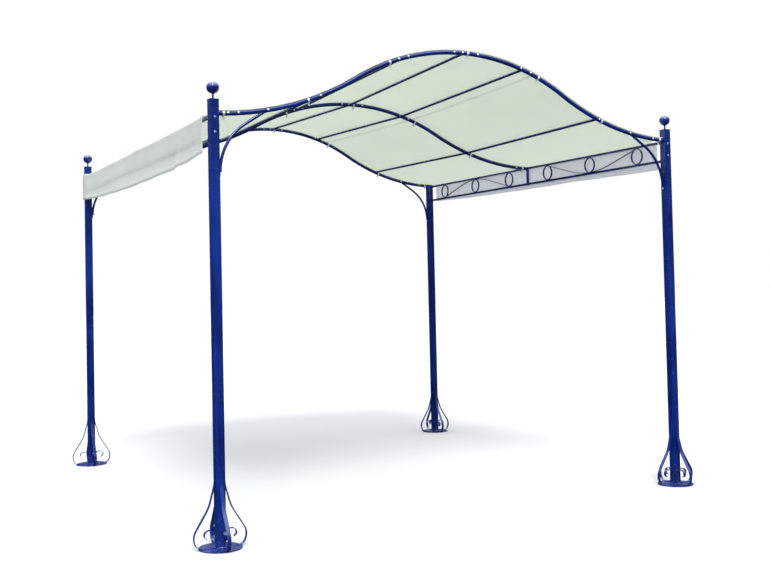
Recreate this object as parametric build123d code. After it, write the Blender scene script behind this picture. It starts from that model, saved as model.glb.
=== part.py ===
from build123d import *
import math
import os

# Garden gazebo: a square steel frame with three wave-shaped roof ribs and a cloth canopy.
# Millimetres. Origin at the middle of the footprint on the ground, +X to the right along
# the front, +Y to the back, +Z up.

# Plan and height
span_x = 3000.0             # post centre to post centre, left to right
span_y = 3000.0             # post centre to post centre, front to back
post_height = 2250.0        # ground to the top face of the post caps

# Posts
post_side = 48.0
post_corner_r = 3.0
cap_side = 50.0
cap_thickness = 3.0
neck_d = 10.0
ball_d = 65.0
ball_lift = 27.0            # cap to the underside of the ball

# Feet
plate_d = 220.0
plate_thickness = 5.0
anchor_hole_d = 9.0
anchor_spacing = 106.0      # between anchor holes, along X and along Y
scroll_width = 20.0
scroll_thickness = 3.0
scroll_height = 405.0       # plate to the upper end of a scroll
scroll_belly = 121.0        # post face to the scroll's widest corner
scroll_crook_height = 88.0  # plate to the top of the inner crook
scroll_crook_reach = 60.0   # post face to the outer side of the inner crook

# Roof ribs
rib_d = 25.0
eave_drop = 58.0            # post top to the rib's upper edge at the eave
roof_rise = 433.0           # eave to the rib's highest point
middle_rib_drop = 45.0      # the middle rib's crown below the end ribs' crowns
middle_eave_drop = 12.0     # its ends butt the rails, below the end ribs' ends
crown_share = 0.4576        # crown radius over crown radius plus foot radius
purlin_d = 16.0
purlin_offsets = (410.0, 960.0)

# Corner braces
brace_d = 16.0
brace_reach = 264.0         # post face to the brace's upper end at the rib
brace_bend_r = 300.0
brace_slope = 33.0          # degrees, the straight upper run above level
brace_tab_length = 46.0
brace_tab_width = 20.0
brace_tab_thickness = 6.0

# Side panels under the eaves
rail_side = 15.0
rail_pitch = 120.0          # centre to centre of the two rails
rail_drop = 22.0            # eave to the centre of the upper rail
rings_per_panel = 3
ring_width = 12.0
ring_thickness = 4.0
wave_thickness = 4.0
wave_peak = 1.28            # height of the wave's corner over the height it reaches
weld_bite = 0.5             # how far a ring or wave sinks into a rail

# Cloth
cloth_thickness = 4.0
cloth_gap = 1.0             # rib to cloth
valance_gap = 4.0           # post's outer face to the hanging cloth
notch_gap = 8.0             # cloth edge to post
left_valance_front = 66.0   # front left post to the valance
left_valance_past = 25.0    # valance beyond the centre of the back left post
left_valance_drops = (205.0, 232.0, 191.0)      # below the eave at the front, middle and back
right_valance_ends = (86.0, 46.0)       # post faces to the valance, front and back
right_valance_drops = (190.0, 178.0, 152.0)

# Places that follow from the sizes above
half_x = span_x / 2
half_y = span_y / 2
post_half = post_side / 2
post_in_x = half_x - post_half
post_in_y = half_y - post_half
eave_z = post_height - eave_drop
cloth_edge = half_x + post_half + valance_gap + cloth_thickness
cloth_end_y = half_y + rib_d / 2
rail_z = eave_z - rail_drop
low_rail_z = rail_z - rail_pitch
corners = {
    "front_left": (-1, -1),
    "front_right": (1, -1),
    "back_left": (-1, 1),
    "back_right": (1, 1),
}
rib_rows = {"front": -half_y, "middle": 0.0, "back": half_y}
middle_rise = roof_rise - middle_rib_drop + middle_eave_drop
row_rise = {"front": roof_rise, "middle": middle_rise, "back": roof_rise}
row_eave = {"front": eave_z, "middle": eave_z - middle_eave_drop, "back": eave_z}

nodes = {}


# The radii of a roof line that rises by rise, and the x where its arcs join: a crown arc
# and two reversed arcs that end level at the cloth's edge.
def roof_arcs(rise):
    arc_sum = (cloth_edge ** 2 + rise ** 2) / (2 * rise)
    crown_r = crown_share * arc_sum
    slope = 2 * math.atan(rise / cloth_edge)
    return crown_r, arc_sum - crown_r, crown_r * math.sin(slope)


# A point on the roof line of a row of ribs at x, measured depth below the ribs' upper edge.
def roof_point(row, x, depth):
    crown_r, foot_r, join_x = roof_arcs(row_rise[row])
    side = math.copysign(1.0, x)
    run = abs(x)
    if run <= join_x:
        lean = math.asin(run / crown_r)
        z = row_eave[row] + row_rise[row] - crown_r * (1 - math.cos(lean))
    else:
        lean = math.asin((cloth_edge - run) / foot_r)
        z = row_eave[row] + foot_r * (1 - math.cos(lean))
    return (side * (run - depth * math.sin(lean)), rib_rows[row], z - depth * math.cos(lean))


def roof_arc(row, x_from, x_to, depth):
    points = [roof_point(row, x, depth) for x in (x_from, (x_from + x_to) / 2, x_to)]
    return ThreePointArc(*points)


def block(low, high):
    size = [b - a for a, b in zip(low, high)]
    centre = [(a + b) / 2 for a, b in zip(low, high)]
    return Pos(*centre) * Box(*size)


# Half a rib on the right, from the ridge out to the face it ends on.
def rib_half(row, end_x):
    y = rib_rows[row]
    join_x = roof_arcs(row_rise[row])[2]
    path = Wire([roof_arc(row, 0, join_x, rib_d / 2), roof_arc(row, join_x, cloth_edge, rib_d / 2)])
    section = Plane(origin=path @ 0, z_dir=path % 0) * Circle(rib_d / 2)
    tube = sweep(section, path=path)
    low = (-1.0, y - rib_d, row_eave[row] - 2 * rib_d)
    high = (end_x, y + rib_d, row_eave[row] + row_rise[row] + rib_d)
    return tube & block(low, high)


def make_ribs():
    for row in rib_rows:
        end_x = half_x - rail_side / 2 if row == "middle" else post_in_x
        right = rib_half(row, end_x)
        nodes[row + "_rib_right"] = right
        nodes[row + "_rib_left"] = mirror(right, Plane.YZ)


# Each purlin line is two straight tubes that meet the ribs at half their height, coped to them.
def make_purlins():
    inner, outer = purlin_offsets
    lines = {"left_low": -outer, "left_high": -inner, "ridge": 0.0, "right_high": inner, "right_low": outer}
    for name, x in lines.items():
        bars = []
        for rows in (("front", "middle"), ("middle", "back")):
            start, end = [Vector(*roof_point(row, x, rib_d / 2)) for row in rows]
            bar = extrude(Plane(origin=start, z_dir=end - start) * Circle(purlin_d / 2), (end - start).length)
            for row in rows:
                for side in ("left", "right"):
                    if abs(x) < rib_d or (side == "right") == (x > 0):
                        bar = bar - nodes[row + "_rib_" + side]
            bars.append(max(bar.solids(), key=lambda solid: solid.volume))
        nodes[name + "_purlin"] = Compound(children=bars)


def make_posts():
    for name, (sx, sy) in corners.items():
        place = Pos(sx * half_x, sy * half_y, plate_thickness)
        length = post_height - cap_thickness - plate_thickness
        section = RectangleRounded(post_side, post_side, post_corner_r)
        nodes[name + "_post"] = place * extrude(section, length)


# Cap plate, thin neck and ball, joined as one piece.
def make_finials():
    ball_z = post_height + ball_lift + ball_d / 2
    for name, (sx, sy) in corners.items():
        x, y = sx * half_x, sy * half_y
        cap = Pos(x, y, post_height - cap_thickness) * extrude(
            RectangleRounded(cap_side, cap_side, post_corner_r), cap_thickness)
        neck = Pos(x, y, post_height) * extrude(Circle(neck_d / 2), ball_lift + ball_d / 4)
        ball = Pos(x, y, ball_z) * Sphere(ball_d / 2)
        nodes[name + "_finial"] = cap + neck + ball


def make_base_plates():
    reach = anchor_spacing / 2
    for name, (sx, sy) in corners.items():
        x, y = sx * half_x, sy * half_y
        plate = Pos(x, y, 0) * extrude(Circle(plate_d / 2), plate_thickness)
        for hole_x in (-reach, reach):
            for hole_y in (-reach, reach):
                drill = Pos(x + hole_x, y + hole_y, 0) * extrude(Circle(anchor_hole_d / 2), plate_thickness)
                plate = plate - drill
        nodes[name + "_base_plate"] = plate


# One flat-bar scroll beside the +X face of a post that stands at the origin. It leaves the
# post, swells out, turns under along the plate, climbs the post and ends in a small crook.
def scroll():
    near = post_half + scroll_thickness / 2
    floor = plate_thickness + scroll_thickness / 2
    belly = post_half + scroll_belly
    crook = post_half + scroll_crook_reach
    crook_top = floor + scroll_crook_height
    route = [
        (near, floor + scroll_height),
        (near, floor + 0.78 * scroll_height),
        (near + 0.27 * scroll_belly, floor + 0.49 * scroll_height),
        (belly, floor + 0.15 * scroll_height),
        (belly - 0.2 * scroll_belly, floor),
        (near, floor),
        (near, crook_top),
        (crook, crook_top),
        (crook, crook_top - 0.35 * scroll_crook_height),
        (crook - 0.22 * scroll_crook_reach, crook_top - 0.48 * scroll_crook_height),
    ]
    radii = [
        0.4 * scroll_height,
        0.54 * scroll_height,
        0.58 * scroll_belly,
        0.3 * scroll_belly,
        2 * scroll_thickness,
        0.3 * scroll_crook_height,
        0.4 * scroll_crook_reach,
        0.13 * scroll_crook_reach,
    ]
    flat_path = FilletPolyline(*route, radius=radii)
    path = Plane.XZ * flat_path
    across = Plane(origin=path @ 0, x_dir=(1, 0, 0), z_dir=path % 0)
    return sweep(across * Rectangle(scroll_thickness, scroll_width), path=path)


def make_scrolls():
    one = scroll()
    for name, (sx, sy) in corners.items():
        turned = [Pos(sx * half_x, sy * half_y, 0) * Rot(0, 0, angle) * one for angle in (0, 90, 180, 270)]
        nodes[name + "_scrolls"] = Compound(children=[piece.solid() for piece in turned])


# A bent tube from the post's inner face to the rib: a wide bend that leaves the post upright,
# then a straight run coped to the rib. A flattened tab holds its foot.
def make_braces():
    turn = math.radians(90 - brace_slope)
    foot_x = post_in_x - brace_d / 2
    top_x, _, top_z = roof_point("front", post_in_x - brace_reach, rib_d / 2)
    bend_x = foot_x - brace_bend_r * (1 - math.cos(turn))
    foot_z = top_z - (bend_x - top_x) / math.tan(turn) - brace_bend_r * math.sin(turn)
    for name, (sx, sy) in corners.items():
        y = sy * half_y
        bend = [(foot_x - brace_bend_r * (1 - math.cos(angle)), y, foot_z + brace_bend_r * math.sin(angle))
                for angle in (0, turn / 2, turn)]
        path = Wire([ThreePointArc(*bend), Line(bend[-1], (top_x, y, top_z))])
        tube = sweep(Plane(origin=path @ 0, z_dir=path % 0) * Circle(brace_d / 2), path=path)
        tab = block(
            (post_in_x - brace_tab_thickness, y - brace_tab_width / 2, foot_z - brace_tab_length / 2),
            (post_in_x, y + brace_tab_width / 2, foot_z + brace_tab_length / 2))
        row = "front" if sy < 0 else "back"
        brace = tube + tab - nodes[row + "_rib_right"]
        brace = max(brace.solids(), key=lambda solid: solid.volume)
        nodes[name + "_brace"] = brace if sx > 0 else mirror(brace, Plane.YZ)


# Half a side panel on the right, from the middle upright back to the post: two rails,
# a row of rings and one wave bar that rises over the middle ring.
def back_half_panel():
    start = rail_side / 2
    length = post_in_y - start
    ring_pitch = length / rings_per_panel
    gap = rail_pitch - rail_side
    middle_z = (rail_z + low_rail_z) / 2
    panel = None
    for z in (rail_z, low_rail_z):
        rail = block((half_x - rail_side / 2, start, z - rail_side / 2),
                     (half_x + rail_side / 2, post_in_y, z + rail_side / 2))
        panel = rail if panel is None else panel + rail
    outer = gap / 2 + weld_bite
    for index in range(rings_per_panel):
        y = start + (index + 0.5) * ring_pitch
        face = Plane(origin=(half_x - ring_width / 2, y, middle_z), z_dir=(1, 0, 0))
        ring = extrude(face * (Circle(outer) - Circle(outer - ring_thickness)), ring_width)
        panel = panel + ring
    low = low_rail_z + rail_side / 2
    first = start + 0.5 * ring_pitch
    last = start + (rings_per_panel - 0.5) * ring_pitch
    peak = (first + last) / 2
    rise = gap - wave_thickness / 2 + weld_bite
    slope = wave_peak * rise / (peak - first)
    lean = math.atan(slope)
    top_r = (wave_peak - 1) * rise / (1 / math.cos(lean) - 1)
    wave_path = FilletPolyline(
        (0, first, low), (0, peak, low + wave_peak * rise), (0, last, low), radius=top_r)
    wave_path = Pos(half_x, 0, 0) * wave_path
    wave_section = Plane(origin=wave_path @ 0, x_dir=(1, 0, 0), z_dir=wave_path % 0)
    wave = sweep(wave_section * Rectangle(ring_width, wave_thickness), path=wave_path)
    return (panel + wave).solid()


# The front half panel is the back one turned half round in its own plane.
def make_side_panels():
    back = back_half_panel()
    middle_z = (rail_z + low_rail_z) / 2
    turn_axis = Axis((half_x, 0, middle_z), (1, 0, 0))
    front = back.rotate(turn_axis, 180)
    nodes["right_back_panel"] = back
    nodes["right_front_panel"] = front
    nodes["left_back_panel"] = mirror(back, Plane.YZ)
    nodes["left_front_panel"] = mirror(front, Plane.YZ)
    half = rail_side / 2
    upright = block((half_x - half, -half, low_rail_z - half), (half_x + half, half, row_eave["middle"]))
    nodes["right_panel_upright"] = upright
    nodes["left_panel_upright"] = mirror(upright, Plane.YZ)


# The part of the cloth that hangs outside a rail, below the roof cloth's edge.
def valance(y_front, y_back, drops):
    x = cloth_edge - cloth_thickness
    lower = [(x, y, eave_z - drop) for y, drop in zip((y_front, 0.0, y_back), drops)]
    upper = []
    for y in sorted({y_front, 0.0, min(y_back, cloth_end_y), y_back}, reverse=True):
        low_share = max(0.0, 1 - abs(y) / cloth_end_y)
        upper.append((x, y, eave_z + cloth_gap - middle_eave_drop * low_share))
    face = make_face(Polyline(*lower, *upper, close=True))
    return extrude(face, amount=cloth_thickness, dir=(1, 0, 0))


# A slice through the cloth above a row of ribs, moved to y.
def cloth_slice(row, y):
    under, over = -cloth_gap, -cloth_gap - cloth_thickness
    join_x = roof_arcs(row_rise[row])[2]
    stations = [(-cloth_edge, -join_x), (-join_x, join_x), (join_x, cloth_edge)]
    edges = [roof_arc(row, a, b, depth) for depth in (under, over) for a, b in stations]
    for x in (-cloth_edge, cloth_edge):
        edges.append(Line(roof_point(row, x, under), roof_point(row, x, over)))
    return Pos(0, y - rib_rows[row], 0) * make_face(Wire(edges))


# The cloth: a sheet over the ribs, notched round the posts, and a valance down each side.
def make_cloth():
    front = cloth_slice("front", -cloth_end_y)
    middle = cloth_slice("middle", 0)
    back = cloth_slice("back", cloth_end_y)
    sheet = loft([front, middle], ruled=True) + loft([middle, back], ruled=True)
    left_front = -post_in_y + left_valance_front
    right_front = -post_in_y + right_valance_ends[0]
    right_back = post_in_y - right_valance_ends[1]
    cut_x = post_in_x - notch_gap
    far = cloth_edge + cloth_end_y
    cuts = [
        ((-far, -far, 0), (-cut_x, left_front, far)),
        ((-far, post_in_y - notch_gap, 0), (-cut_x, far, far)),
        ((cut_x, -far, 0), (far, right_front, far)),
        ((cut_x, right_back, 0), (far, far, far)),
    ]
    for low, high in cuts:
        sheet = sheet - block(low, high)
    nodes["canopy"] = sheet
    left = valance(left_front, half_y + left_valance_past, left_valance_drops)
    nodes["left_valance"] = mirror(left, Plane.YZ)
    nodes["right_valance"] = valance(right_front, right_back, right_valance_drops)


make_ribs()
make_purlins()
make_posts()
make_finials()
make_base_plates()
make_scrolls()
make_braces()
make_side_panels()
make_cloth()

os.makedirs("parts", exist_ok=True)
for name, shape in nodes.items():
    solids = shape.solids()
    whole = solids[0] if len(solids) == 1 else Compound(children=list(solids))
    export_step(whole, "parts/" + name + ".step")
    print(name, len(solids), "solid(s)", round(sum(solid.volume for solid in solids)), "mm3")
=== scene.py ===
import math

import bmesh
import bpy
from mathutils import Matrix, Vector, noise


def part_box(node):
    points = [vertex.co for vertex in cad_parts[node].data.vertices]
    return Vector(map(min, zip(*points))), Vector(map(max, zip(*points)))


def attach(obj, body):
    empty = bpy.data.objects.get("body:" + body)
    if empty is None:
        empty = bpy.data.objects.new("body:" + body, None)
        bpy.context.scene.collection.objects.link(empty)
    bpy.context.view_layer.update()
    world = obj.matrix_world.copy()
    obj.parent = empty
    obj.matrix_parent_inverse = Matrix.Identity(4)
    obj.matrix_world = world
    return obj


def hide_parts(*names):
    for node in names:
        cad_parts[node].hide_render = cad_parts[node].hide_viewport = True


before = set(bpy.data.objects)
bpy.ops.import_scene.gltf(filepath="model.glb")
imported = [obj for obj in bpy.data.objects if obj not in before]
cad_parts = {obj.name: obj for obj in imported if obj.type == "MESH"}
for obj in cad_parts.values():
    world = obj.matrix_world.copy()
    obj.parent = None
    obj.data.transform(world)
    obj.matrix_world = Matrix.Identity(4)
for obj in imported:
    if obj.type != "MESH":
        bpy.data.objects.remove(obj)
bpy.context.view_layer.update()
print("frame loaded:", len(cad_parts), "nodes")


def addNode(tree, kind, inputs=None, **settings):
    made = tree.nodes.new(kind)
    for key, value in settings.items():
        setattr(made, key, value)
    for key, value in (inputs or {}).items():
        if isinstance(value, bpy.types.NodeSocket):
            tree.links.new(value, made.inputs[key])
        else:
            made.inputs[key].default_value = value
    return made


def newMaterial(name):
    material = bpy.data.materials.new(name)
    material.use_nodes = True
    material.node_tree.nodes.clear()
    return material, material.node_tree


# a colour between two others, by a factor
def tintNode(tree, factor, low, high):
    made = addNode(tree, "ShaderNodeMix", {"Factor": factor}, data_type="RGBA")
    for index, tone in ((6, low), (7, high)):
        if isinstance(tone, bpy.types.NodeSocket):
            tree.links.new(tone, made.inputs[index])
        else:
            made.inputs[index].default_value = tone
    return made.outputs[2]


def rangeNode(tree, value, fromLow, fromHigh, toLow, toHigh):
    return addNode(tree, "ShaderNodeMapRange", {
        "Value": value, "From Min": fromLow, "From Max": fromHigh,
        "To Min": toLow, "To Max": toHigh}).outputs["Result"]


def noiseNode(tree, place, scale, detail):
    return addNode(tree, "ShaderNodeTexNoise", {
        "Vector": place, "Scale": scale, "Detail": detail}).outputs["Fac"]


def stretchNode(tree, place, factors):
    made = addNode(tree, "ShaderNodeVectorMath", {0: place, 1: factors}, operation="MULTIPLY")
    return made.outputs["Vector"]


def mathNode(tree, operation, first, second):
    return addNode(tree, "ShaderNodeMath", {0: first, 1: second}, operation=operation).outputs["Value"]


# a bump, on top of a broader one where that is given
def bumpNode(tree, height, distance, strength, broader=None):
    made = addNode(tree, "ShaderNodeBump", {"Height": height, "Distance": distance, "Strength": strength})
    if broader is not None:
        tree.links.new(broader, made.inputs["Normal"])
    return made.outputs["Normal"]


# a principled surface, joined to the material's output
def surfaceNode(tree, tone, roughness, others):
    shader = addNode(tree, "ShaderNodeBsdfPrincipled", {
        "Base Color": tone, "Roughness": roughness, **others})
    addNode(tree, "ShaderNodeOutputMaterial", {"Surface": shader.outputs["BSDF"]})


def finishPiece(name, bm, materials, smooth=True):
    mesh = bpy.data.meshes.new(name)
    bm.to_mesh(mesh)
    bm.free()
    for material in materials:
        mesh.materials.append(material)
    for face in mesh.polygons:
        face.use_smooth = smooth
    piece = bpy.data.objects.new(name, mesh)
    bpy.context.scene.collection.objects.link(piece)
    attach(piece, "root")
    return piece


# turns the +Z axis to a direction and moves the origin to a point
def placed(point, direction, spin=0.0):
    turn = Vector(direction).to_track_quat("Z", "Y").to_matrix().to_4x4()
    return Matrix.Translation(point) @ turn @ Matrix.Rotation(spin, 4, "Z")


# copies a small finished mesh into a larger one
def stamp(bm, shape, place):
    count = len(bm.verts)
    bm.from_mesh(shape)
    bm.verts.ensure_lookup_table()
    bmesh.ops.transform(bm, matrix=place, verts=bm.verts[count:])


def asShape(bm, name):
    bmesh.ops.recalc_face_normals(bm, faces=bm.faces)
    shape = bpy.data.meshes.new(name)
    bm.to_mesh(shape)
    bm.free()
    return shape


paint = {
    "deepBlue": (0.0016, 0.0085, 0.1, 1),
    "clearBlue": (0.0042, 0.028, 0.235, 1),
    "blotchScale": 4.5,
    "streakStretch": (26.0, 26.0, 2.2),
    "dust": (0.17, 0.18, 0.26, 1),
    "dustHeight": 0.16,
    "dustShare": 0.5,
    "dustScale": 95.0,
    "smearScale": 34.0,
    "roughness": (0.16, 0.3),
    "waveScale": 60.0,
    "waveDepth": 0.0006,
    "peelScale": 540.0,
    "peelDepth": 0.00014,
    "specular": 0.3,
    "coat": 0.32,
    "coatRoughness": 0.06,
}


def makePaint():
    material, tree = newMaterial("blueEnamel")
    place = addNode(tree, "ShaderNodeTexCoord").outputs["Object"]
    blotch = noiseNode(tree, place, paint["blotchScale"], 5.0)
    streak = noiseNode(tree, stretchNode(tree, place, paint["streakStretch"]), 1.0, 4.0)
    clear = rangeNode(tree, mathNode(tree, "ADD", blotch, streak), 0.75, 1.25, 0.0, 1.0)
    tone = tintNode(tree, clear, paint["deepBlue"], paint["clearBlue"])
    # splashed dust near the ground
    height = addNode(tree, "ShaderNodeSeparateXYZ", {"Vector": place}).outputs["Z"]
    low = rangeNode(tree, height, 0.0, paint["dustHeight"], paint["dustShare"], 0.0)
    speck = rangeNode(tree, noiseNode(tree, place, paint["dustScale"], 6.0), 0.5, 0.72, 0.0, 1.0)
    tone = tintNode(tree, mathNode(tree, "MULTIPLY", low, speck), tone, paint["dust"])
    smear = noiseNode(tree, place, paint["smearScale"], 4.0)
    rough = rangeNode(tree, smear, 0.3, 0.7, *paint["roughness"])
    waves = bumpNode(tree, noiseNode(tree, place, paint["waveScale"], 2.0), paint["waveDepth"], 0.5)
    peel = bumpNode(tree, noiseNode(tree, place, paint["peelScale"], 2.0), paint["peelDepth"], 0.6, waves)
    surfaceNode(tree, tone, rough, {
        "Normal": peel, "Specular IOR Level": paint["specular"], "Coat Weight": paint["coat"],
        "Coat Roughness": paint["coatRoughness"]})
    return material


cloth = {
    "ecru": (0.91, 0.945, 0.8, 1),
    "shade": (0.845, 0.885, 0.74, 1),
    "glow": (0.803, 0.843, 0.795, 1),
    # the valances' inner side: a lavender tint that is painted sky light, the bluish light the inside of the
    # valances catches, set as a cloth colour and a translucent colour
    "skyTintTone": (0.79, 0.79, 0.93, 1),
    "skyTintShade": (0.71, 0.715, 0.87, 1),
    "skyTintGlow": (0.95, 0.94, 1.0, 1),
    "thread": (0.8, 0.82, 0.8, 1),
    "threadShade": (0.66, 0.69, 0.68, 1),
    "threadPitch": 0.0016,
    "weaveDepth": 0.0002,
    "slubStretch": (7.0, 240.0, 1.0),
    "slubAcrossStretch": (260.0, 6.0, 1.0),
    "cloudScale": 2.0,
    "creaseStretch": (8.0, 3.0, 1.0),
    "creaseDepth": 0.005,
    "roughness": 0.86,
    "throughLight": 0.58,
    "throughThread": 0.1,
}


def makeCloth(name, light, dark, glow, through):
    material, tree = newMaterial(name)
    flat = addNode(tree, "ShaderNodeUVMap", uv_map="flatCut").outputs["UV"]
    perMetre = 1 / cloth["threadPitch"]
    threads = stretchNode(tree, flat, (perMetre, perMetre, 1.0))
    over = addNode(tree, "ShaderNodeTexChecker", {"Vector": threads, "Scale": 1.0}).outputs["Fac"]
    # the wave's angle is 20 times its place, so this scale gives one wave to a thread
    perThread = math.tau / 20
    warp, weft = [addNode(tree, "ShaderNodeTexWave", {"Vector": threads, "Scale": perThread},
                          bands_direction=way).outputs["Fac"] for way in ("X", "Y")]
    weave = addNode(tree, "ShaderNodeMix", {"Factor": over, "A": warp, "B": weft}).outputs[0]
    slub = noiseNode(tree, stretchNode(tree, flat, cloth["slubStretch"]), 1.0, 3.0)
    slubAcross = noiseNode(tree, stretchNode(tree, flat, cloth["slubAcrossStretch"]), 1.0, 3.0)
    cloud = noiseNode(tree, flat, cloth["cloudScale"], 5.0)
    mixed = mathNode(tree, "MULTIPLY", mathNode(tree, "ADD", slub, slubAcross), cloud)
    tone = tintNode(tree, rangeNode(tree, mixed, 0.3, 0.7, 0.0, 1.0), dark, light)
    crease = noiseNode(tree, stretchNode(tree, flat, cloth["creaseStretch"]), 1.0, 4.0)
    soft = bumpNode(tree, crease, cloth["creaseDepth"], 0.35)
    bump = bumpNode(tree, weave, cloth["weaveDepth"], 0.7, soft)
    front = addNode(tree, "ShaderNodeBsdfPrincipled", {
        "Base Color": tone, "Roughness": cloth["roughness"], "Normal": bump,
        "Specular IOR Level": 0.2, "Sheen Weight": 0.12, "Sheen Roughness": 0.5})
    behind = addNode(tree, "ShaderNodeBsdfTranslucent", {"Color": glow, "Normal": bump})
    both = addNode(tree, "ShaderNodeMixShader", {
        0: through, 1: front.outputs["BSDF"], 2: behind.outputs["BSDF"]})
    addNode(tree, "ShaderNodeOutputMaterial", {"Surface": both.outputs["Shader"]})
    return material


zinc = {
    "bright": (0.74, 0.77, 0.84, 1),
    "dull": (0.42, 0.45, 0.52, 1),
    "grainScale": 300.0,
    "spangleScale": 420.0,
    "roughness": (0.2, 0.42),
}


def makeZinc():
    material, tree = newMaterial("zincPlate")
    place = addNode(tree, "ShaderNodeTexCoord").outputs["Object"]
    grain = noiseNode(tree, place, zinc["grainScale"], 4.0)
    spangle = addNode(tree, "ShaderNodeTexVoronoi", {"Vector": place, "Scale": zinc["spangleScale"]})
    patchy = mathNode(tree, "ADD", grain, spangle.outputs["Distance"])
    tone = tintNode(tree, rangeNode(tree, patchy, 0.4, 1.2, 0.0, 1.0), zinc["dull"], zinc["bright"])
    rough = rangeNode(tree, grain, 0.3, 0.7, *zinc["roughness"])
    surfaceNode(tree, tone, rough, {"Metallic": 1.0, "Normal": bumpNode(tree, grain, 0.00008, 0.5)})
    return material


wear = {
    "film": (0.02, 0.05, 0.3, 1),
    "rubbed": (0.3, 0.36, 0.62, 1),
    "scale": 260.0,
    "roughness": (0.28, 0.45),
}


# paint rubbed thin on the bolt heads that a spanner turns
def makeWornPaint():
    material, tree = newMaterial("wornPaint")
    place = addNode(tree, "ShaderNodeTexCoord").outputs["Object"]
    chips = noiseNode(tree, place, wear["scale"], 4.0)
    tone = tintNode(tree, rangeNode(tree, chips, 0.42, 0.58, 0.0, 1.0), wear["film"], wear["rubbed"])
    rough = rangeNode(tree, chips, 0.3, 0.7, *wear["roughness"])
    surfaceNode(tree, tone, rough, {"Normal": bumpNode(tree, chips, 0.0001, 0.6), "Coat Weight": 0.2})
    return material


tape = {
    "white": (0.84, 0.86, 0.92, 1),
    "crease": (0.66, 0.69, 0.78, 1),
    "soilScale": 70.0,
    "twillLines": 225.0,                    # to a metre
}


def makeTape():
    material, tree = newMaterial("whiteTape")
    place = addNode(tree, "ShaderNodeTexCoord").outputs["Object"]
    # the diagonal wave's angle is 10 times its place
    twill = addNode(tree, "ShaderNodeTexWave", {
        "Vector": place, "Scale": tape["twillLines"] * math.tau / 10, "Distortion": 0.6},
        bands_direction="DIAGONAL").outputs["Fac"]
    soil = noiseNode(tree, place, tape["soilScale"], 5.0)
    tone = tintNode(tree, rangeNode(tree, soil, 0.35, 0.7, 0.0, 1.0), tape["white"], tape["crease"])
    surfaceNode(tree, tone, 0.8, {"Normal": bumpNode(tree, twill, 0.0002, 0.6), "Sheen Weight": 0.2})
    return material


blueEnamel = makePaint()
through = cloth["throughLight"]
ecruCloth = makeCloth("ecruCloth", cloth["ecru"], cloth["shade"], cloth["glow"], through)
# the lavender on the valances' inner side is painted sky light
skyTintLining = makeCloth("skyTintLining", cloth["skyTintTone"], cloth["skyTintShade"], cloth["skyTintGlow"], through)
sewingThread = makeCloth("sewingThread", cloth["thread"], cloth["threadShade"], cloth["thread"],
                         cloth["throughThread"])
whiteTape = makeTape()
wornPaint = makeWornPaint()
zincPlate = makeZinc()
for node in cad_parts.values():
    node.data.materials.clear()
    node.data.materials.append(blueEnamel)
print("materials made")


# The ribs' upper edge is a crown arc joined to two reversed arcs that end level at the cloth's
# edge. The middle rib is lower at its crown and its ends, and the purlins run straight down to it.
roof = {"crownShare": 0.4576, "clothLift": 0.0016, "eaveGap": 0.001}
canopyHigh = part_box("canopy")[1]
ribLow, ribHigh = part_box("front_rib_right")
postLow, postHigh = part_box("back_right_post")
railLow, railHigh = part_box("right_back_panel")
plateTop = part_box("front_right_base_plate")[1].z
postX = (postLow.x + postHigh.x) / 2
postY = (postLow.y + postHigh.y) / 2
postHalf = (postHigh.x - postLow.x) / 2
roofEdge = canopyHigh.x
halfDepth = canopyHigh.y
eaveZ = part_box("left_valance")[1].z - roof["eaveGap"]
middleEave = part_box("right_panel_upright")[1].z
crownTop = ribHigh.z
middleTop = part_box("middle_rib_right")[1].z
ribRadius = (ribHigh.y - ribLow.y) / 2
rowY = -(ribLow.y + ribRadius)
ribRows = {"front": -rowY, "middle": 0.0, "back": rowY}


# 1 at the middle rib, 0 at the end ribs and beyond them
def middleShare(y):
    return max(0.0, 1 - abs(y) / rowY)


# height of the eave line at a depth y
def eaveAt(y):
    return eaveZ + (middleEave - eaveZ) * middleShare(y)


# crown radius, foot radius, steepest lean, run to the join, run to the edge and top at a depth y
def roofArcs(y):
    top = crownTop + (middleTop - crownTop) * middleShare(y)
    rise = top - eaveAt(y)
    arcSum = (roofEdge ** 2 + rise ** 2) / (2 * rise)
    crownRadius = roof["crownShare"] * arcSum
    lean = 2 * math.atan(rise / roofEdge)
    return crownRadius, arcSum - crownRadius, lean, crownRadius * lean, arcSum * lean, top


edgeRun = roofArcs(rowY)[4]


# x, z and outward lean of the roof line, for a run over the end ribs from the ridge
def roofAt(run, y):
    crownRadius, footRadius, leanMax, crownRun, wholeRun, top = roofArcs(y)
    side = 1.0 if run >= 0 else -1.0
    run = abs(run) * wholeRun / edgeRun
    if run <= crownRun:
        lean = run / crownRadius
        return side * crownRadius * math.sin(lean), top - crownRadius * (1 - math.cos(lean)), side * lean
    lean = leanMax - (run - crownRun) / footRadius
    x = roofEdge - footRadius * math.sin(lean)
    return side * x, eaveAt(y) + footRadius * (1 - math.cos(lean)), side * lean


# run over the end ribs at a given x and depth
def runAt(x, y):
    crownRadius, footRadius, leanMax, crownRun, wholeRun = roofArcs(y)[:5]
    side = 1.0 if x >= 0 else -1.0
    x = abs(x)
    if x <= crownRadius * math.sin(leanMax):
        run = crownRadius * math.asin(x / crownRadius)
    else:
        run = crownRun + footRadius * (leanMax - math.asin(min(1.0, (roofEdge - x) / footRadius)))
    return side * run * edgeRun / wholeRun


# centre line of a rib at x, with the outward normal of the roof line there
def ribCentre(row, x):
    y = ribRows[row]
    x, z, lean = roofAt(runAt(x, y), y)
    normal = Vector((math.sin(lean), 0, math.cos(lean)))
    return Vector((x, y, z)) - normal * ribRadius, normal


def nodeCentre(name):
    low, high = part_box(name)
    return (low + high) / 2


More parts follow.
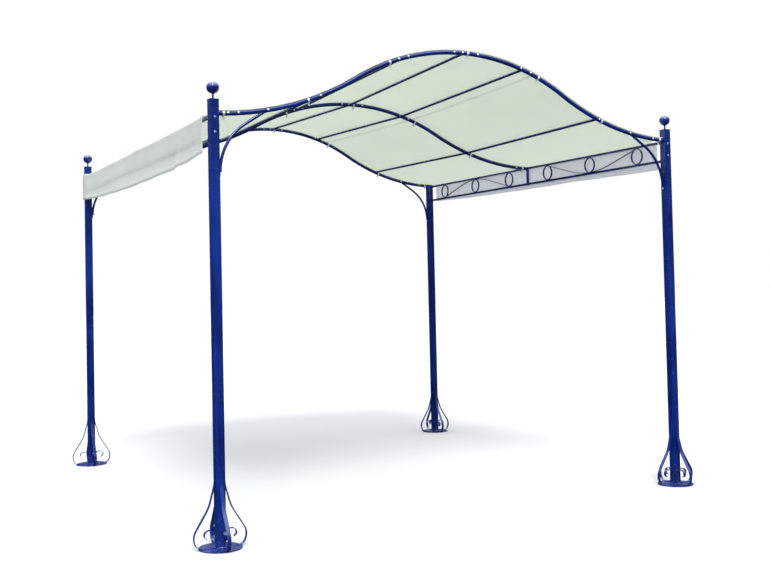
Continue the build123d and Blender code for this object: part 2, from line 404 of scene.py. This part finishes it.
canopy = {
    "step": 0.0195,
    "thickness": 0.0011,
    "hem": 0.03,
    "hemThickness": 0.0032,
    "hemEdge": 0.0015,                      # width of the step from doubled to single cloth
    "seamX": 0.5,
    "seamWidth": 0.016,
    "seamEdge": 0.0016,
    "purlinBaySag": 0.011,
    "outerBaySag": 0.006,
    "purlinDepth": 0.003,
    "railLift": 0.0012,
    "drift": 0.004,
    "swing": 0.006,
    "ripple": 0.0008,
    "gather": 0.0016,
    "gatherReach": 0.05,
    "gatherTurn": 78.0,
    "foldRadius": 0.01,
    "hangInset": 0.014,
    "postGap": 0.008,                       # round the posts that come up through the corners
    "spare": 0.006,                         # length of the grid past the longest drop
    # below the eave at the front, the middle and the back, on the left and on the right
    "drops": {-1: (0.205, 0.232, 0.191), 1: (0.19, 0.178, 0.152)},
    # y, how far the fold stands out, its width and its slant, on the left valance and on the right
    "folds": {
        -1: ((-0.95, 0.009, 0.045, 0.3), (-0.84, -0.006, 0.05, 0.35), (0.35, 0.004, 0.16, 0.1)),
        1: ((-0.9, 0.004, 0.12, 0.1), (0.1, -0.004, 0.14, -0.1), (0.8, 0.004, 0.12, 0.15)),
    },
}
purlinNames = ("left_low_purlin", "left_high_purlin", "ridge_purlin",
               "right_high_purlin", "right_low_purlin")
purlinRuns = [runAt(nodeCentre(name).x, rowY) for name in purlinNames]
valanceSpans = {-1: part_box("left_valance"), 1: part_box("right_valance")}


def eased(low, high, value):
    share = min(1.0, max(0.0, (value - low) / (high - low)))
    return share * share * (3 - 2 * share)


# 0 on a row of ribs, 1 in the bay between two rows
def bayShare(y):
    return abs(math.sin(math.pi * (y + rowY) / rowY))


# how far the roof cloth stands off the roof line, upwards positive
def roofSag(run, y):
    stops = [-edgeRun] + purlinRuns + [edgeRun]
    inner, outer = canopy["purlinBaySag"], canopy["outerBaySag"]
    depths = [outer * 0.5, outer, inner, inner, outer, outer * 0.5]
    bay = bayShare(y)
    run = min(max(run, -edgeRun), edgeRun)
    index = min(sum(run > stop for stop in stops[1:]), len(depths) - 1)
    across = math.sin(math.pi * (run - stops[index]) / (stops[index + 1] - stops[index]))
    sag = -depths[index] * across * eased(0.0, 1.0, bay * 1.15)
    rest = -canopy["purlinDepth"] * eased(0.0, 0.35, bay)
    ontoRail = (railHigh.z + canopy["railLift"] - eaveAt(y)) * eased(0.0, 0.25, bay)
    eave = ontoRail * eased(0.8 * edgeRun, 0.97 * edgeRun, abs(run))
    drift = noise.noise(Vector((run * 2.1, y * 1.3, 4.0))) * canopy["drift"] * bay * across
    # small gathers beside the rows of ties, which fade in the bays and on the ribs themselves
    away = bay * edgeRun / 4 / canopy["gatherReach"]
    pull = away * math.exp(1 - away) * across
    turn = run * canopy["gatherTurn"] + 3 * noise.noise(Vector((run * 6, y, 2.0)))
    gather = canopy["gather"] * pull * math.sin(turn)
    return sag + rest + eave + drift + gather


# depth of a valance's lower edge below the eave
def edgeDrop(side, y):
    front, middle, back = canopy["drops"][side]
    low, high = valanceSpans[side]
    end, share = (front, y / low.y) if y < 0 else (back, y / high.y)
    wave = 0.0014 * math.sin(6.3 * y + 1.0 + side) + 0.0009 * math.sin(15.0 * y)
    return middle + (end - middle) * share * share + wave


# height of the cloth where it starts to turn down over a rail
def foldTop(side, y):
    run = side * (edgeRun - canopy["foldRadius"])
    return roofAt(run, y)[1] + roof["clothLift"] + canopy["thickness"] / 2 + roofSag(run, y)


# length of cloth past the roof's edge
def dropAt(side, y):
    return foldTop(side, y) - eaveZ + edgeDrop(side, y) - canopy["foldRadius"] * (2 - math.pi / 2)


# distance along the cloth's edge from the nearer post's face, negative beside the post
def fromPost(y):
    return abs(abs(y) - rowY) - postHalf


# how far the valance hangs inside the roof's edge: nothing outside a post, more along the rail
def edgeInset(y):
    return canopy["hangInset"] * eased(0.02, 0.4, fromPost(y))


# sideways swing of a valance, growing towards its lower edge
def valanceSwing(side, fall, y):
    broad = noise.noise(Vector((y * 1.5, side * 3.0, 1.0))) * canopy["swing"]
    fine = noise.noise(Vector((y * 15.0, side + fall * 2.2, 5.0))) * canopy["ripple"]
    swing = (broad + fine) * eased(0.0, 0.22, fall)
    for place, depth, width, slant in canopy["folds"][side]:
        away = (y - place - slant * (fall - 0.1)) / width
        swing += depth * math.exp(-away * away) * eased(0.01, 0.2, fall)
    return swing * eased(-0.02, 0.14, fromPost(y))


# place on the middle of the cloth for a run and a y of the flat cut
def clothPlace(run, y):
    side = 1 if run > 0 else -1
    radius = canopy["foldRadius"]
    past = abs(run) - (edgeRun - radius)
    if past <= 0:
        x, z, lean = roofAt(run, y)
        lift = roof["clothLift"] + canopy["thickness"] / 2 + roofSag(run, y)
        inset = edgeInset(y) * eased(edgeRun - 0.15, edgeRun - radius, abs(run))
        return Vector((x + lift * math.sin(lean) - side * inset, y, z + lift * math.cos(lean)))
    turn = min(past / radius, math.pi / 2)
    fall = max(0.0, past - radius * math.pi / 2)
    x = roofEdge - edgeInset(y) - radius * (1 - math.sin(turn)) + valanceSwing(side, fall, y)
    return Vector((side * x, y, foldTop(side, y) - radius * (1 - math.cos(turn)) - fall))


def clothNormal(run, y):
    near = 0.002
    along = clothPlace(run, y + near) - clothPlace(run, y - near)
    across = clothPlace(run + near, y) - clothPlace(run - near, y)
    return across.cross(along).normalized()


def cutAt(bm, run=None, y=None):
    point = (run or 0.0, y or 0.0, 0.0)
    normal = (1, 0, 0) if y is None else (0, 1, 0)
    bmesh.ops.bisect_plane(bm, geom=bm.verts[:] + bm.edges[:] + bm.faces[:], dist=1e-5,
                           plane_co=point, plane_no=normal)


# the flat cut: its edges and notches, in one place for the cloth and its stitches
reach = {side: max(canopy["drops"][side]) + canopy["spare"] for side in (-1, 1)}
frontEnds = {side: valanceSpans[side][0].y for side in (-1, 1)}
backEnds = {side: valanceSpans[side][1].y for side in (-1, 1)}
notchRun = runAt(postX - postHalf - canopy["postGap"], rowY)
leftBackNotch = postY - postHalf - canopy["postGap"]
seamRun = runAt(canopy["seamX"], rowY)
hemStart = halfDepth - canopy["hem"]


# the sheet is cut to the valances' real drops, so the grid's outer runs shrink to them
def trueFlat(run, y):
    if abs(run) <= edgeRun:
        return run, y
    side = 1 if run > 0 else -1
    return side * (edgeRun + (abs(run) - edgeRun) * dropAt(side, y) / reach[side]), y


# whether a face of the grid lies outside the cut
def isWaste(run, y):
    side = 1 if run > 0 else -1
    offRoof = abs(run) < edgeRun and abs(y) > halfDepth
    offFront = abs(run) > notchRun and y < frontEnds[side]
    offBack = abs(run) > (edgeRun if side < 0 else notchRun) and y > backEnds[side]
    inNotch = side < 0 and notchRun < abs(run) < edgeRun and y > leftBackNotch
    return offRoof or offFront or offBack or inNotch


# whether a corner of the grid is in a hem or in the seam
def isDoubled(run, y):
    side = 1 if run > 0 else -1
    near = 1e-4
    inHem = abs(y) > hemStart - near or abs(run) > edgeRun + reach[side] - canopy["hem"] - near
    inEndHem = side < 0 and abs(run) > edgeRun and y < frontEnds[-1] + canopy["hem"] + near
    inSeam = abs(run - seamRun) < canopy["seamWidth"] / 2 + near
    return inHem or inEndHem or inSeam


# rows of corners along the edges, hems and seam, so that each is sharp, and round the folds
def cutRows(bm):
    hem, sharp = canopy["hem"], canopy["hemEdge"]
    fold = edgeRun - canopy["foldRadius"]
    for side in (-1, 1):
        lower = edgeRun + reach[side] - hem
        for run in (notchRun, edgeRun, edgeRun + 0.004, fold, fold + 0.005, lower, lower - sharp):
            cutAt(bm, run=side * run)
    seamHalf = canopy["seamWidth"] / 2
    seamOffsets = (-seamHalf - canopy["seamEdge"], -seamHalf, seamHalf, seamHalf + canopy["seamEdge"])
    for run in purlinRuns + [seamRun + offset for offset in seamOffsets]:
        cutAt(bm, run=run)
    for y in (frontEnds[-1], frontEnds[1], backEnds[1], leftBackNotch, halfDepth, hemStart, hemStart - sharp,
              -hemStart, sharp - hemStart, 0.0, frontEnds[-1] + hem, frontEnds[-1] + hem + sharp):
        cutAt(bm, y=y)


def makeCanopy():
    totalRun = 2 * edgeRun + reach[-1] + reach[1]
    totalDepth = halfDepth + backEnds[-1]
    bm = bmesh.new()
    bmesh.ops.create_grid(bm, x_segments=round(totalRun / canopy["step"]),
                          y_segments=round(totalDepth / canopy["step"]), size=0.5)
    bmesh.ops.scale(bm, vec=(totalRun, totalDepth, 1), verts=bm.verts)
    middle = ((reach[1] - reach[-1]) / 2, (backEnds[-1] - halfDepth) / 2, 0)
    bmesh.ops.translate(bm, vec=middle, verts=bm.verts)
    cutRows(bm)
    waste = [face for face in bm.faces if isWaste(*face.calc_center_median().xy)]
    bmesh.ops.delete(bm, geom=waste, context="FACES")
    flatCut = bm.loops.layers.uv.new("flatCut")
    doubled = bm.verts.layers.deform.verify()
    for vert in bm.verts:
        vert[doubled][0] = 1.0 if isDoubled(*vert.co.xy) else 0.0
    for face in bm.faces:
        face.material_index = 2 if abs(face.calc_center_median().x) > edgeRun else 0
        for loop in face.loops:
            loop[flatCut].uv = trueFlat(*loop.vert.co.xy)
    for vert in bm.verts:
        vert.co = clothPlace(*trueFlat(*vert.co.xy))
    area = sum(face.calc_area() for face in bm.faces)
    # outer and inner side of the roof, then of the valances; the valances' inner side takes a lavender tint
    # that is painted sky light
    sides = [ecruCloth, ecruCloth, ecruCloth, skyTintLining]
    piece = finishPiece("canopyCloth", bm, sides)
    piece.vertex_groups.new(name="doubledCloth")
    body = piece.modifiers.new("clothBody", "SOLIDIFY")
    body.thickness = canopy["hemThickness"]
    body.offset = 0.0
    body.vertex_group = "doubledCloth"
    body.thickness_vertex_group = canopy["thickness"] / canopy["hemThickness"]
    body.material_offset = 1
    body.material_offset_rim = 0
    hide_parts("canopy", "left_valance", "right_valance")
    print("canopy cloth:", len(piece.data.polygons), "faces,", round(area, 2), "square metres")
    return piece, totalRun, totalDepth, area


canopyCloth, clothRun, clothDepth, clothArea = makeCanopy()


stitching = {
    "pitch": 0.0075,
    "length": 0.0052,
    "width": 0.0011,
    "height": 0.0006,
    "fromEdge": 0.026,
    "fromNotch": 0.01,
    "fromEnd": 0.006,
    "fromFold": 0.012,
    "acrossSeam": 0.36,                     # share of the seam's width
}


# one row of stitches between two places of the flat cut, on both faces of the cloth
def sewRow(bm, start, end):
    count = max(2, round(math.dist(start, end) / stitching["pitch"]))
    stand = canopy["hemThickness"] / 2
    size = Matrix.Diagonal((stitching["length"], stitching["width"], stitching["height"], 1))
    for index in range(count):
        share = (index + 0.5) / count
        run, y = [a + (b - a) * share for a, b in zip(start, end)]
        ahead = [a + (b - a) * (share + 0.2 / count) for a, b in zip(start, end)]
        if abs(run) > edgeRun and start[0] == end[0]:        # follow the wavy lower edge
            side = 1 if run > 0 else -1
            run = side * (edgeRun + dropAt(side, y) - stitching["fromEdge"])
            ahead[0] = side * (edgeRun + dropAt(side, ahead[1]) - stitching["fromEdge"])
        place, normal = clothPlace(run, y), clothNormal(run, y)
        forward = (clothPlace(*ahead) - place).normalized()
        turn = Matrix((forward, normal.cross(forward), normal)).transposed().to_4x4()
        for face in (1, -1):
            onFace = Matrix.Translation(place + normal * face * stand) @ turn @ size
            bmesh.ops.create_cube(bm, size=1, matrix=onFace)


def makeStitching():
    bm = bmesh.new()
    inset, endGap, foldGap = stitching["fromEdge"], stitching["fromEnd"], stitching["fromFold"]
    for y in (inset - halfDepth, halfDepth - inset):
        sewRow(bm, (stitching["fromNotch"] - notchRun, y), (notchRun - stitching["fromNotch"], y))
    for side in (-1, 1):
        lower = side * (edgeRun + reach[side])
        sewRow(bm, (lower, frontEnds[side] + endGap), (lower, backEnds[side] - endGap))
        for y in (frontEnds[side] + inset, backEnds[side] - inset):
            drop = dropAt(side, y)
            sewRow(bm, (side * (edgeRun + foldGap), y), (side * (edgeRun + drop - foldGap), y))
    for side in (-1, 1):
        across = seamRun + side * canopy["seamWidth"] * stitching["acrossSeam"]
        sewRow(bm, (across, endGap - halfDepth), (across, halfDepth - endGap))
    flatCut = bm.loops.layers.uv.new("flatCut")
    for face in bm.faces:
        for loop in face.loops:
            loop[flatCut].uv = loop.vert.co.xy
    print("stitching:", len(bm.faces), "faces")
    return finishPiece("clothStitching", bm, [sewingThread], smooth=False)


clothStitching = makeStitching()


# Tape ties hold the cloth down to the ribs, beside the purlins and at the corners.
ties = {
    "places": (-1.448, -0.982, -0.49, 0.023, 0.52, 0.99, 1.448),
    "width": 0.012,
    "thickness": 0.001,
    "knot": (0.0065, 0.005, 0.004),
    "knotBack": 0.004,
    "knotBelow": 0.003,
    "tails": ((0.017, 0.5, 0.1), (0.013, -0.6, -0.25)),     # length, swing and twist
    "tailSteps": 7,
    "shapes": ((1.0, 0.1), (0.8, -0.3), (1.15, 0.3)),       # tails' length and lean, of each kind
}


# a tie round a rib that runs along X, with the rib's centre at the origin and the knot below
def tieShape(longer, lean):
    bm = bmesh.new()
    radius = ribRadius + ties["thickness"] * 0.5 + 0.0001
    thin = Matrix.Diagonal((ties["width"], 0.0001, ties["thickness"], 1))
    bmesh.ops.create_cube(bm, size=1, matrix=Matrix.Translation((0, 0, radius)) @ thin)
    section = next(face for face in bm.faces if face.normal.y > 0.5)
    bmesh.ops.delete(bm, geom=[face for face in bm.faces if face != section], context="FACES")
    bmesh.ops.spin(bm, geom=section.edges[:] + section.verts[:] + [section], cent=(0, 0, 0), axis=(1, 0, 0),
                   angle=math.tau, steps=28, use_merge=True)
    bmesh.ops.remove_doubles(bm, verts=bm.verts, dist=0.0002)
    knotPlace = Vector((0, ties["knotBack"], -radius - ties["knotBelow"]))
    knot = Matrix.Translation(knotPlace) @ Matrix.Diagonal((*ties["knot"], 1))
    bmesh.ops.create_icosphere(bm, subdivisions=2, radius=1, matrix=knot)
    for length, swing, twist in ties["tails"]:
        addTail(bm, knotPlace - Vector((0, 0, 0.001)), length * longer, swing + lean, twist)
    return asShape(bm, "tie")


# a flat tape end that falls from the knot, drawn out edge by edge
def addTail(bm, start, length, swing, twist):
    steps = ties["tailSteps"]
    half = ties["width"] * 0.3
    ends = [bm.verts.new(start + Vector((sign * half, 0, 0))) for sign in (-1, 1)]
    edge = bm.edges.new(ends)
    made = []
    for step in range(steps):
        new = bmesh.ops.extrude_edge_only(bm, edges=[edge])["geom"]
        edge = next(item for item in new if isinstance(item, bmesh.types.BMEdge))
        made += [item for item in new if isinstance(item, bmesh.types.BMFace)]
        moved = list(edge.verts)
        angle = swing * (1 - step / steps)
        sway = math.sin(angle) * length / steps
        drop = -math.cos(angle) * length / steps
        bmesh.ops.translate(bm, verts=moved, vec=(sway, 0.6 * sway + 0.001 * math.sin(step * 1.7), drop))
        centre = (moved[0].co + moved[1].co) / 2
        bmesh.ops.rotate(bm, verts=moved, cent=centre, matrix=Matrix.Rotation(twist * 0.6, 3, "Z"))
    bmesh.ops.solidify(bm, geom=made, thickness=ties["thickness"])


def makeTies():
    bm = bmesh.new()
    shapes = [tieShape(longer, lean) for longer, lean in ties["shapes"]]
    for rowIndex, row in enumerate(ribRows):
        for index, x in enumerate(ties["places"]):
            centre, normal = ribCentre(row, x)
            lean = math.atan2(normal.x, normal.z)
            flip = Matrix.Rotation(math.pi, 4, "Z") if row == "back" else Matrix.Identity(4)
            place = Matrix.Translation(centre) @ Matrix.Rotation(lean, 4, "Y") @ flip
            stamp(bm, shapes[(index + 2 * rowIndex) % len(shapes)], place)
    print("tape ties:", len(bm.faces), "faces")
    finishPiece("ribTies", bm, [whiteTape])


makeTies()


fixing = {
    "washerRadius": 0.0068,
    "washerDepth": 0.0012,
    "headRadius": 0.0052,
    "headDepth": 0.0034,
    "nutRadius": 0.0056,
    "nutDepth": 0.005,
    "threadRadius": 0.003,
    "threadLength": 0.0035,
    # places along a rib, measured from the purlin that each group belongs to
    "besidePurlins": {"left_low_purlin": (0.043,), "left_high_purlin": (-0.026, 0.034),
                      "ridge_purlin": (-0.07, -0.0135, 0.09), "right_high_purlin": (-0.0135, 0.055),
                      "right_low_purlin": (0.0125,)},
    "besidePosts": (-1.425, -1.37, 1.39),
    "braceTop": 1.21,
    "aboveTabFoot": 0.013,
    "tabDepth": 0.006,
    "postHeights": (2.158, 2.082),
    "sunk": 0.0003,
    "nutTurn": 0.3,
}


# a disc of so many sides with a softened upper rim; gives the level of its top
def addDisc(bm, radius, depth, sides, level, soften):
    top = level + depth
    bmesh.ops.create_cone(bm, cap_ends=True, segments=sides, radius1=radius, radius2=radius, depth=depth,
                          matrix=Matrix.Translation((0, 0, level + depth / 2)))
    rim = [edge for edge in bm.edges if all(abs(vert.co.z - top) < 1e-5 for vert in edge.verts)]
    bmesh.ops.bevel(bm, geom=rim, offset=soften, affect="EDGES", segments=2, profile=0.5, material=-1)
    return top


# a dome head on a washer, standing on the plane z = 0
def headShape():
    bm = bmesh.new()
    top = addDisc(bm, fixing["washerRadius"], fixing["washerDepth"], 20, 0.0, 0.0003)
    dome = bmesh.new()
    scale = Matrix.Diagonal((fixing["headRadius"], fixing["headRadius"], fixing["headDepth"], 1))
    bmesh.ops.create_uvsphere(dome, u_segments=16, v_segments=8, radius=1, matrix=scale)
    bmesh.ops.bisect_plane(dome, geom=dome.verts[:] + dome.edges[:] + dome.faces[:],
                           plane_co=(0, 0, 0.0002), plane_no=(0, 0, -1), clear_outer=True)
    bmesh.ops.holes_fill(dome, edges=dome.edges, sides=40)
    stamp(bm, asShape(dome, "dome"), Matrix.Translation((0, 0, top)))
    return asShape(bm, "boltHead")


# a washer, a hexagon nut and the thread's end
def nutShape():
    bm = bmesh.new()
    level = 0.0
    for radius, depth, sides in ((fixing["washerRadius"], fixing["washerDepth"], 20),
                                 (fixing["nutRadius"], fixing["nutDepth"], 6),
                                 (fixing["threadRadius"], fixing["threadLength"], 12)):
        level = addDisc(bm, radius, depth, sides, level, 0.0005)
    return asShape(bm, "nut")


# a bolt through a tube of the given width, its head out along the direction
def addBolt(bm, shapes, centre, direction, width, painted=False):
    direction = Vector(direction)
    count = len(bm.faces)
    stamp(bm, shapes[0], placed(centre + direction * width / 2, direction))
    bm.faces.ensure_lookup_table()
    for face in bm.faces[count:]:
        face.material_index = 1 if painted else 0
    if shapes[1]:
        stamp(bm, shapes[1], placed(centre - direction * width / 2, -direction, fixing["nutTurn"]))


def makeBolts():
    bm = bmesh.new()
    shapes = (headShape(), nutShape())
    headAlone = (shapes[0], None)
    for row in ribRows:
        outward = (0, 1, 0) if row == "back" else (0, -1, 0)
        places = list(fixing["besidePosts"])
        for name, offsets in fixing["besidePurlins"].items():
            places += [nodeCentre(name).x + offset for offset in offsets]
        if row != "middle":
            places += [-fixing["braceTop"], fixing["braceTop"]]
        for x in places:
            addBolt(bm, shapes, ribCentre(row, x)[0], outward, 2 * (ribRadius - fixing["sunk"]))
    for sideX in (-1, 1):
        for sideY in (-1, 1):
            for z in fixing["postHeights"]:
                onPost = Vector((sideX * postX, sideY * postY, z))
                addBolt(bm, headAlone, onPost, (0, sideY, 0), 2 * postHalf, painted=True)
            brace = ("front" if sideY < 0 else "back") + ("_left_brace" if sideX < 0 else "_right_brace")
            tabX = sideX * (postX - postHalf - fixing["tabDepth"])
            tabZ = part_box(brace)[0].z + fixing["aboveTabFoot"]
            addBolt(bm, headAlone, Vector((tabX, sideY * postY, tabZ)), (-sideX, 0, 0), 0.0)
    print("bolts:", len(bm.faces), "faces")
    finishPiece("frameBolts", bm, [zincPlate, wornPaint])


makeBolts()


weld = {
    "footRadius": 0.003,
    "scrollRadius": 0.00165,
    "railRadius": 0.0017,
    "neckRadius": 0.0016,
    "jointRadius": 0.0006,
    "ripple": 0.16,
    "endSwell": 0.35,
    "pitch": 0.004,
    "proud": 0.0006,
    "offPost": 0.0008,
    "postCorner": 0.003,
    "railCorner": 0.0012,
    "flatHalf": 0.01,                       # half the width of a scroll's flat bar
    "abovePlate": (0.02, 0.055),
    "belowScrollTop": (0.045, 0.008),
    "alongPlate": (0.052, 0.082),           # from the post's middle
    "besideRing": 0.0085,                   # from the middle of the ring's foot
    "ringBeadHalf": 0.005,
    "ringPitch": 0.0025,
    "capDepth": 0.003,
    "neckHeight": 0.03,
    "neckHalf": 0.0055,
}


# a rippled bead of weld along a row of points
def addBead(bm, points, radius, closed=False):
    count = len(points)
    loops = []
    for index, point in enumerate(points):
        ahead = points[(index + 1) % count] if closed or index < count - 1 else point
        behind = points[index - 1] if closed or index > 0 else point
        swell = 1 + weld["ripple"] * math.sin(index * 2.2)
        if not closed and index in (0, count - 1):
            swell = weld["endSwell"]
        made = bmesh.ops.create_circle(bm, segments=6, radius=radius * swell,
                                       matrix=placed(point, ahead - behind))["verts"]
        loops.append({edge for vert in made for edge in vert.link_edges})
    pairs = list(zip(loops, loops[1:] + loops[:1] if closed else loops[1:]))
    for one, other in pairs:
        bmesh.ops.bridge_loops(bm, edges=list(one | other))
    if not closed:
        for end in (loops[0], loops[-1]):
            bmesh.ops.contextual_create(bm, geom=list(end))


def finishWelds(name, bm):
    bmesh.ops.recalc_face_normals(bm, faces=bm.faces)
    print(name + ":", len(bm.faces), "faces")
    finishPiece(name, bm, [blueEnamel])


def straight(start, end, pitch):
    start, end = Vector(start), Vector(end)
    count = max(3, round((end - start).length / pitch))
    return [start.lerp(end, index / count) for index in range(count + 1)]


# points round a square with rounded corners, in the plane of two directions
def squareRound(centre, half, corner, acrossWay, alongWay, steps=5, spans=9):
    points = []
    for quarter in range(4):
        for step in range(steps):
            angle = math.pi / 2 * (quarter + step / (steps - 1))
            cornerX = (half - corner) * (1 if quarter in (0, 3) else -1)
            cornerY = (half - corner) * (1 if quarter in (0, 1) else -1)
            points.append((cornerX + corner * math.cos(angle), cornerY + corner * math.sin(angle)))
    filled = []
    for index, point in enumerate(points):
        filled.append(point)
        following = points[(index + 1) % len(points)]
        if math.dist(point, following) > half:
            for n in range(1, spans):
                filled.append(tuple(a + (b - a) * n / spans for a, b in zip(point, following)))
    acrossWay, alongWay = Vector(acrossWay), Vector(alongWay)
    return [Vector(centre) + acrossWay * x + alongWay * y for x, y in filled]


# the beads at one scroll, on both edges of its flat bar: up the post's face, then out over the plate
def addScrollBeads(bm, centre, turn, scrollTop):
    out, wide = turn @ Vector((1, 0, 0)), turn @ Vector((0, 1, 0))
    upper = [scrollTop - below for below in weld["belowScrollTop"]]
    for edge in (-weld["flatHalf"], weld["flatHalf"]):
        onPost = centre + out * (postHalf + weld["offPost"]) + wide * edge
        for low, high in (weld["abovePlate"], upper):
            start, end = onPost + Vector((0, 0, low)), onPost + Vector((0, 0, high))
            addBead(bm, straight(start, end, weld["pitch"]), weld["scrollRadius"])
        onPlate = centre + wide * edge + Vector((0, 0, weld["proud"]))
        start, end = [onPlate + out * away for away in weld["alongPlate"]]
        addBead(bm, straight(start, end, weld["pitch"]), weld["scrollRadius"])


def makeFootWelds():
    bm = bmesh.new()
    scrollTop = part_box("front_right_scrolls")[1].z - plateTop
    for sideX in (-1, 1):
        for sideY in (-1, 1):
            centre = Vector((sideX * postX, sideY * postY, plateTop))
            foot = squareRound(centre, postHalf, weld["postCorner"], (1, 0, 0), (0, 1, 0))
            addBead(bm, foot, weld["footRadius"], closed=True)
            for quarter in range(4):
                addScrollBeads(bm, centre, Matrix.Rotation(quarter * math.pi / 2, 3, "Z"), scrollTop)
    finishWelds("footWelds", bm)


def makePanelWelds():
    bm = bmesh.new()
    radius, proud = weld["railRadius"], weld["proud"]
    railHalf = (railHigh.x - railLow.x) / 2
    lowRail, highRail = railLow.z + railHalf, railHigh.z - railHalf
    start, length = railLow.y, railHigh.y - railLow.y
    for sideX in (-1, 1):
        x = sideX * (railLow.x + railHalf)
        for sideY in (-1, 1):
            for z in (lowRail, highRail):
                for y in (start + proud, railHigh.y - proud):
                    loop = squareRound((x, sideY * y, z), railHalf, weld["railCorner"],
                                       (1, 0, 0), (0, 0, 1), steps=3, spans=5)
                    addBead(bm, loop, radius, closed=True)
            for ring in range(3):
                y = sideY * (start + (ring + 0.5) * length / 3)
                for z in (lowRail + railHalf, highRail - railHalf):
                    for beside in (-weld["besideRing"], weld["besideRing"]):
                        ends = [(x + way * weld["ringBeadHalf"], y + beside, z) for way in (-1, 1)]
                        addBead(bm, straight(*ends, weld["ringPitch"]), radius)
    finishWelds("panelWelds", bm)


# points round a circle about an axis
def ringRound(centre, axis, radius, count):
    base = placed(centre, axis)
    angles = [math.tau * index / count for index in range(count)]
    return [base @ Vector((radius * math.cos(angle), radius * math.sin(angle), 0)) for angle in angles]


def makeNeckWelds():
    bm = bmesh.new()
    for name in ("front_left", "front_right", "back_left", "back_right"):
        finial = name + "_finial"
        middle, neckLow = nodeCentre(finial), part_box(finial)[0].z
        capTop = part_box(name + "_post")[1].z + weld["capDepth"]
        for z in (capTop, neckLow + weld["neckHeight"] + weld["proud"]):
            loop = ringRound((middle.x, middle.y, z), (0, 0, 1), weld["neckHalf"], 22)
            addBead(bm, loop, weld["neckRadius"], closed=True)
    for row in ribRows:
        loop = ringRound(ribCentre(row, 0.0)[0], (1, 0, 0), ribRadius, 36)
        addBead(bm, loop, weld["jointRadius"], closed=True)
    finishWelds("neckWelds", bm)


makeFootWelds()
makePanelWelds()
makeNeckWelds()


stage = {
    "floorSize": 120.0,
    "floorTone": (0.62, 0.62, 0.625, 1),
    "backdrop": (1.0, 1.0, 1.0, 1),
    # sine of the height above the horizon, and the light from there
    "fill": ((-0.1, (0.3, 0.31, 0.34)), (0.0, (0.6, 0.62, 0.67)), (1.0, (1.6, 1.62, 1.66))),
    "mirrored": ((0.0, (0.03, 0.035, 0.05)), (0.17, (0.08, 0.1, 0.14)), (0.34, (0.55, 0.6, 0.7)),
                 (0.7, (3.8, 4.0, 4.3)), (1.0, (9.6, 10.0, 10.6))),
    "sunPower": 2.8,
    "sunFrom": (-0.3, -0.85, 0.95),
    "sunSpread": 22.0,
    "sunColour": (1.0, 0.985, 0.96),
}


def makeFloor():
    material, tree = newMaterial("paleFloor")
    place = addNode(tree, "ShaderNodeTexCoord").outputs["Object"]
    rough = rangeNode(tree, noiseNode(tree, place, 3.0, 2.0), 0.0, 1.0, 0.85, 0.95)
    surfaceNode(tree, stage["floorTone"], rough, {"Specular IOR Level": 0.1})
    bm = bmesh.new()
    bmesh.ops.create_grid(bm, x_segments=2, y_segments=2, size=stage["floorSize"] / 2)
    mesh = bpy.data.meshes.new("floor")
    bm.to_mesh(mesh)
    bm.free()
    mesh.materials.append(material)
    floor = bpy.data.objects.new("floor", mesh)
    bpy.context.scene.collection.objects.link(floor)
    floor.visible_glossy = False            # the enamel doesn't mirror the floor
    floor.visible_diffuse = False           # and no light comes up from it


# light by height, from a row of stops
def skyRamp(tree, height, stops):
    first, last = stops[0][0], stops[-1][0]
    made = addNode(tree, "ShaderNodeValToRGB", {"Fac": rangeNode(tree, height, first, last, 0.0, 1.0)})
    points = made.color_ramp.elements
    while len(points) < len(stops):
        points.new(0.5)
    for point, (level, light) in zip(points, stops):
        point.position = (level - first) / (last - first)
        point.color = (*light, 1)
    return made.outputs["Color"]


# a plain white backdrop; what lights the object and what it mirrors are set apart
def makeSky():
    world = bpy.data.worlds.new("studio")
    world.use_nodes = True
    tree = world.node_tree
    tree.nodes.clear()
    way = addNode(tree, "ShaderNodeTexCoord").outputs["Generated"]
    height = addNode(tree, "ShaderNodeSeparateXYZ", {"Vector": way}).outputs["Z"]
    path = addNode(tree, "ShaderNodeLightPath").outputs
    glow = tintNode(tree, path["Is Glossy Ray"], skyRamp(tree, height, stage["fill"]),
                    skyRamp(tree, height, stage["mirrored"]))
    tone = tintNode(tree, path["Is Camera Ray"], glow, stage["backdrop"])
    shade = addNode(tree, "ShaderNodeBackground", {"Color": tone, "Strength": 1.0})
    addNode(tree, "ShaderNodeOutputWorld", {"Surface": shade.outputs["Background"]})
    bpy.context.scene.world = world
    bpy.context.scene.view_settings.view_transform = "Standard"


def makeSun():
    lamp = bpy.data.lights.new("softSun", "SUN")
    lamp.energy = stage["sunPower"]
    lamp.angle = math.radians(stage["sunSpread"])
    lamp.color = stage["sunColour"]
    sun = bpy.data.objects.new("softSun", lamp)
    sun.matrix_world = placed((0, 0, 6), stage["sunFrom"])
    bpy.context.scene.collection.objects.link(sun)


camera = {
    "place": (-3.171, -6.513, 1.276),
    "turn": math.radians(27.605),
    "tilt": math.radians(1.783),
    "roll": math.radians(-1.261),
    "lens": 48.54,
    "shift": (0.0024, -0.0421),
}


def makeCamera():
    data = bpy.data.cameras.new("camera")
    data.sensor_width = 36.0
    data.lens = camera["lens"]
    data.shift_x, data.shift_y = camera["shift"]
    data.clip_end = 200.0
    made = bpy.data.objects.new("camera", data)
    made.matrix_world = (Matrix.Translation(camera["place"])
                         @ Matrix.Rotation(-camera["turn"], 4, "Z")
                         @ Matrix.Rotation(math.pi / 2 + camera["tilt"], 4, "X")
                         @ Matrix.Rotation(camera["roll"], 4, "Z"))
    bpy.context.scene.collection.objects.link(made)
    bpy.context.scene.camera = made


makeFloor()
makeSky()
makeSun()
makeCamera()
print("stage set")
